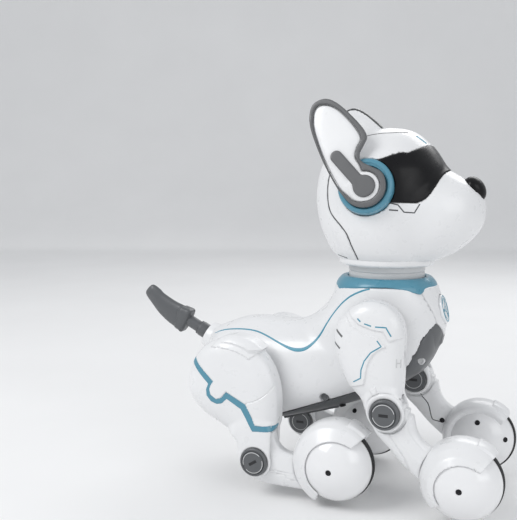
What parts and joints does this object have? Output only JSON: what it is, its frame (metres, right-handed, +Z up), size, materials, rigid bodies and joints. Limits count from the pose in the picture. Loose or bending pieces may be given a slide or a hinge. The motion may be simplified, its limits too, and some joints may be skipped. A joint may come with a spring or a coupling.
{
  "type": "robot dog toy",
  "caption": "Rolling robot dog toy with turning head, swinging ears, wagging tail, jointed legs and ball-shaped wheeled feet.",
  "frame": {"origin": "on the floor plane at the middle of the object's outline, under the body", "axes": "+X forwards along the dog towards its nose, +Y to its left, +Z up"},
  "size_m": [0.2893, 0.1414, 0.2758],
  "materials": {
    "white_plastic": "gloss moulded, fine moulding grain",
    "gloss_white": "high gloss moulded",
    "teal_plastic": "satin gloss moulded in teal blue",
    "badge_plastic": "white disc printed in light blue",
    "dark_grey_plastic": "satin dark grey",
    "grey_plastic": "satin mid grey",
    "pale_plastic": "satin pale grey",
    "gloss_black": "mirror gloss black",
    "tyre": "soft black rubber",
    "battery_wrap": "shrink wrap",
    "circuit_green": "solder mask",
    "display_panel": "satin",
    "black_plastic": "satin",
    "screw_steel": "blackened",
    "motor_can": "plated"
  },
  "bodies": {
    "torso": {"torso_shell_left": "white_plastic", "torso_shell_right": "white_plastic", "chest_panel": "white_plastic", "chest_badge": "badge_plastic", "belly_cover": "dark_grey_plastic", "battery_door": "dark_grey_plastic", "battery_pack": "battery_wrap", "circuit_board": "circuit_green", "leg_gearboxes": "pale_plastic", "neck_bearing": "pale_plastic", "collar": "teal_plastic", "tail_socket": "white_plastic", "belly_screws": "screw_steel"},
    "switch": {"power_switch": "black_plastic"},
    "head": {"head_front_shell": "white_plastic", "head_rear_shell": "white_plastic", "visor": "gloss_black", "nose": "gloss_black", "eye_display": "display_panel", "head_base": "white_plastic", "neck_stem": "pale_plastic", "ear_discs": "teal_plastic"},
    "tail": {"tail_shaft": "dark_grey_plastic", "tail_blade": "dark_grey_plastic"},
    "ear_left": {"ear_frame_left": "grey_plastic", "ear_face_left": "gloss_white"},
    "ear_right": {"ear_frame_right": "grey_plastic", "ear_face_right": "gloss_white"},
    "front_upper_left": {"upper_arm_left": "white_plastic", "shoulder_hub_left": "grey_plastic", "elbow_pin_left": "dark_grey_plastic"},
    "front_lower_left": {"forearm_left": "white_plastic", "front_foot_left": "gloss_white"},
    "front_wheel_left": {"front_dome_left": "gloss_white", "front_tyre_left": "tyre"},
    "rear_upper_left": {"thigh_left": "white_plastic", "hip_hub_left": "grey_plastic", "thigh_band_left": "teal_plastic", "knee_pin_left": "dark_grey_plastic"},
    "rear_lower_left": {"shank_left": "white_plastic", "rear_foot_left": "gloss_white", "wheel_motor_left": "motor_can"},
    "rear_wheel_left": {"rear_dome_left": "gloss_white", "rear_tyre_left": "tyre"},
    "front_upper_right": {"upper_arm_right": "white_plastic", "shoulder_hub_right": "grey_plastic", "elbow_pin_right": "dark_grey_plastic"},
    "front_lower_right": {"forearm_right": "white_plastic", "front_foot_right": "gloss_white"},
    "front_wheel_right": {"front_dome_right": "gloss_white", "front_tyre_right": "tyre"},
    "rear_upper_right": {"thigh_right": "white_plastic", "hip_hub_right": "grey_plastic", "thigh_band_right": "teal_plastic", "knee_pin_right": "dark_grey_plastic"},
    "rear_lower_right": {"shank_right": "white_plastic", "rear_foot_right": "gloss_white", "wheel_motor_right": "motor_can"},
    "rear_wheel_right": {"rear_dome_right": "gloss_white", "rear_tyre_right": "tyre"}
  },
  "joints": [
    {"name": "head_turn", "type": "hinge", "parent": "torso", "child": "head", "pos_m": [0.0557, 0, 0.14], "axis": [0, 0, 1], "range_deg": [-45, 45]},
    {"name": "ear_swing_left", "type": "hinge", "parent": "head", "child": "ear_left", "pos_m": [0.0512, 0.048, 0.215], "axis": [0, 0.9724, 0.2334], "range_deg": [-30, 20]},
    {"name": "ear_swing_right", "type": "hinge", "parent": "head", "child": "ear_right", "pos_m": [0.0512, -0.048, 0.215], "axis": [0, 0.9724, -0.2334], "range_deg": [-30, 20]},
    {"name": "tail_wag", "type": "hinge", "parent": "torso", "child": "tail", "pos_m": [-0.0839, 0, 0.0973], "axis": [0.4679, 0, 0.8838], "range_deg": [-25, 25]},
    {"name": "power_slide", "type": "slide", "parent": "torso", "child": "switch", "axis": [0, 1, 0], "range_m": [0, 0.003]},
    {"name": "shoulder_left", "type": "hinge", "parent": "torso", "child": "front_upper_left", "pos_m": [0.06, 0.03, 0.118], "axis": [0, 1, 0], "range_deg": [-60, 4]},
    {"name": "elbow_left", "type": "hinge", "parent": "front_upper_left", "child": "front_lower_left", "pos_m": [0.0692, 0.05, 0.0669], "axis": [0, 1, 0], "range_deg": [-25, 10]},
    {"name": "front_roll_left", "type": "hinge", "parent": "front_lower_left", "child": "front_wheel_left", "pos_m": [0.1192, 0.0492, 0.026], "axis": [0, 1, 0], "continuous": true},
    {"name": "hip_left", "type": "hinge", "parent": "torso", "child": "rear_upper_left", "pos_m": [-0.043, 0.03, 0.08], "axis": [0, 1, 0], "range_deg": [-3, 60]},
    {"name": "knee_left", "type": "hinge", "parent": "rear_upper_left", "child": "rear_lower_left", "pos_m": [-0.0226, 0.05, 0.0227], "axis": [0, 1, 0], "range_deg": [-5, 15]},
    {"name": "rear_roll_left", "type": "hinge", "parent": "rear_lower_left", "child": "rear_wheel_left", "pos_m": [0.0345, 0.0492, 0.026], "axis": [0, 1, 0], "continuous": true},
    {"name": "shoulder_right", "type": "hinge", "parent": "torso", "child": "front_upper_right", "pos_m": [0.06, -0.03, 0.118], "axis": [0, 1, 0], "range_deg": [-60, 4]},
    {"name": "elbow_right", "type": "hinge", "parent": "front_upper_right", "child": "front_lower_right", "pos_m": [0.0692, -0.05, 0.0669], "axis": [0, 1, 0], "range_deg": [-25, 10]},
    {"name": "front_roll_right", "type": "hinge", "parent": "front_lower_right", "child": "front_wheel_right", "pos_m": [0.1192, -0.0492, 0.026], "axis": [0, 1, 0], "continuous": true},
    {"name": "hip_right", "type": "hinge", "parent": "torso", "child": "rear_upper_right", "pos_m": [-0.043, -0.03, 0.08], "axis": [0, 1, 0], "range_deg": [-3, 60]},
    {"name": "knee_right", "type": "hinge", "parent": "rear_upper_right", "child": "rear_lower_right", "pos_m": [-0.0226, -0.05, 0.0227], "axis": [0, 1, 0], "range_deg": [-5, 15]},
    {"name": "rear_roll_right", "type": "hinge", "parent": "rear_lower_right", "child": "rear_wheel_right", "pos_m": [0.0345, -0.0492, 0.026], "axis": [0, 1, 0], "continuous": true}
  ]
}
